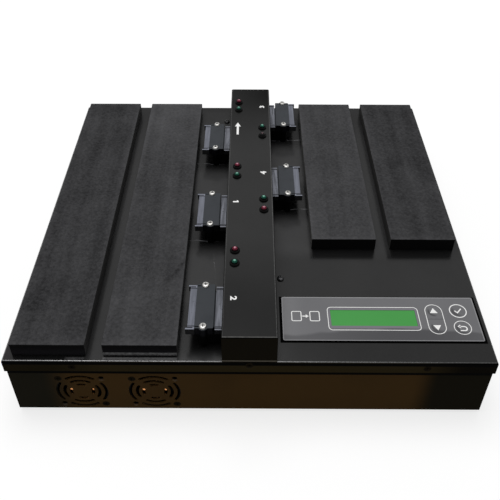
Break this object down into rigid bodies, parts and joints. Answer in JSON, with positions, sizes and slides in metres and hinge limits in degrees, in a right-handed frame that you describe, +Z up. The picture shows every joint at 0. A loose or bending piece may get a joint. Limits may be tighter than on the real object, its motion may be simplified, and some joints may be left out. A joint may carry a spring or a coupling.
{
  "type": "drive duplicator",
  "caption": "Flat black desktop case with foam drive beds, a ridge of drive sockets down the middle, indicator lamps, a display with keys, and fans.",
  "frame": {"origin": "on the table, under the middle of the case: the feet's bottoms are at z = 0", "axes": "+X to the right as seen from the front, +Y to the back, +Z up; the two fans and the open front face look to -Y"},
  "size_m": [0.36, 0.3416, 0.0948],
  "materials": {
    "case_paint": "satin black powder coat",
    "foam": "matt dark grey foam",
    "feet": "matt",
    "bracket_black": "matt",
    "adapter_plastic": "satin dark grey",
    "socket_plastic": "satin lilac grey",
    "plug_plastic": "satin lilac grey",
    "bright_screws": "nickel plated",
    "black_screws": "black zinc",
    "contacts": "gold plated",
    "black_trim": "satin black",
    "red_led": "clear red epoxy, unlit",
    "green_led": "clear green epoxy, unlit",
    "circuit_board": "green solder mask",
    "panel_face": "satin grey film",
    "display": "green display, unlit",
    "display_frame": "satin black",
    "fan_plastic": "satin black",
    "windings": "enamelled copper wire",
    "zinc_steel": "galvanised",
    "standoffs": "plain brass"
  },
  "bodies": {
    "case": {"base_tray": "case_paint", "top_cover": "case_paint", "ridge_housing": "case_paint", "rubber_feet": "feet", "slot_screws": "bright_screws", "socket_contacts": "contacts", "led_bezels": "black_trim", "red_leds": "red_led", "green_leds": "green_led", "led_board": "circuit_board", "control_panel": "panel_face", "lcd_glass": "display", "lcd_bezel": "display_frame", "panel_board": "circuit_board", "tact_switches": "black_trim", "fan_left_frame": "fan_plastic", "fan_right_frame": "fan_plastic", "supply_fan_frame": "fan_plastic", "fan_left_coils": "windings", "fan_right_coils": "windings", "supply_case": "zinc_steel", "power_inlet": "black_trim", "inlet_pins": "contacts", "main_board": "circuit_board", "board_standoffs": "standoffs", "board_parts": "black_trim", "black_pan_screws": "black_screws", "flange_screws": "black_screws", "foam_pad_left_outer": "foam", "foam_pad_left_inner": "foam", "foam_pad_right_inner": "foam", "foam_pad_right_outer": "foam", "slot_bracket_source": "bracket_black", "adapter_body_source": "adapter_plastic", "drive_socket_source": "socket_plastic", "link_plug_source": "plug_plastic", "slot_bracket_1": "bracket_black", "adapter_body_1": "adapter_plastic", "drive_socket_1": "socket_plastic", "link_plug_1": "plug_plastic", "slot_bracket_2": "bracket_black", "adapter_body_2": "adapter_plastic", "drive_socket_2": "socket_plastic", "link_plug_2": "plug_plastic", "slot_bracket_3": "bracket_black", "adapter_body_3": "adapter_plastic", "drive_socket_3": "socket_plastic", "link_plug_3": "plug_plastic", "slot_bracket_4": "bracket_black", "adapter_body_4": "adapter_plastic", "drive_socket_4": "socket_plastic", "link_plug_4": "plug_plastic"},
    "push_up": {"key_up": "panel_face"},
    "push_down": {"key_down": "panel_face"},
    "push_ok": {"key_ok": "panel_face"},
    "push_back": {"key_back": "panel_face"},
    "fan_left_rotor_body": {"fan_left_rotor": "fan_plastic"},
    "fan_right_rotor_body": {"fan_right_rotor": "fan_plastic"},
    "supply_fan_rotor_body": {"supply_fan_rotor": "fan_plastic"},
    "power_rocker_body": {"power_rocker": "black_trim"}
  },
  "joints": [
    {"name": "key_up_press", "type": "slide", "parent": "case", "child": "push_up", "axis": [0, 0, -1], "range_m": [0, 0.0004], "stiffness_N_per_m": 400, "springref_m": -0.001},
    {"name": "key_down_press", "type": "slide", "parent": "case", "child": "push_down", "axis": [0, 0, -1], "range_m": [0, 0.0004], "stiffness_N_per_m": 400, "springref_m": -0.001},
    {"name": "key_ok_press", "type": "slide", "parent": "case", "child": "push_ok", "axis": [0, 0, -1], "range_m": [0, 0.0004], "stiffness_N_per_m": 400, "springref_m": -0.001},
    {"name": "key_back_press", "type": "slide", "parent": "case", "child": "push_back", "axis": [0, 0, -1], "range_m": [0, 0.0004], "stiffness_N_per_m": 400, "springref_m": -0.001},
    {"name": "fan_left_spin", "type": "hinge", "parent": "case", "child": "fan_left_rotor_body", "pos_m": [-0.1267, -0.1628, 0.02575], "axis": [0, 1, 0], "continuous": true},
    {"name": "fan_right_spin", "type": "hinge", "parent": "case", "child": "fan_right_rotor_body", "pos_m": [-0.0717, -0.1628, 0.02575], "axis": [0, 1, 0], "continuous": true},
    {"name": "supply_fan_spin", "type": "hinge", "parent": "case", "child": "supply_fan_rotor_body", "pos_m": [-0.1375, 0.1618, 0.02525], "axis": [0, 1, 0], "continuous": true},
    {"name": "power_rocker_tilt", "type": "hinge", "parent": "case", "child": "power_rocker_body", "pos_m": [-0.1015, 0.1668, 0.03425], "axis": [1, 0, 0], "range_deg": [0, 18]}
  ]
}
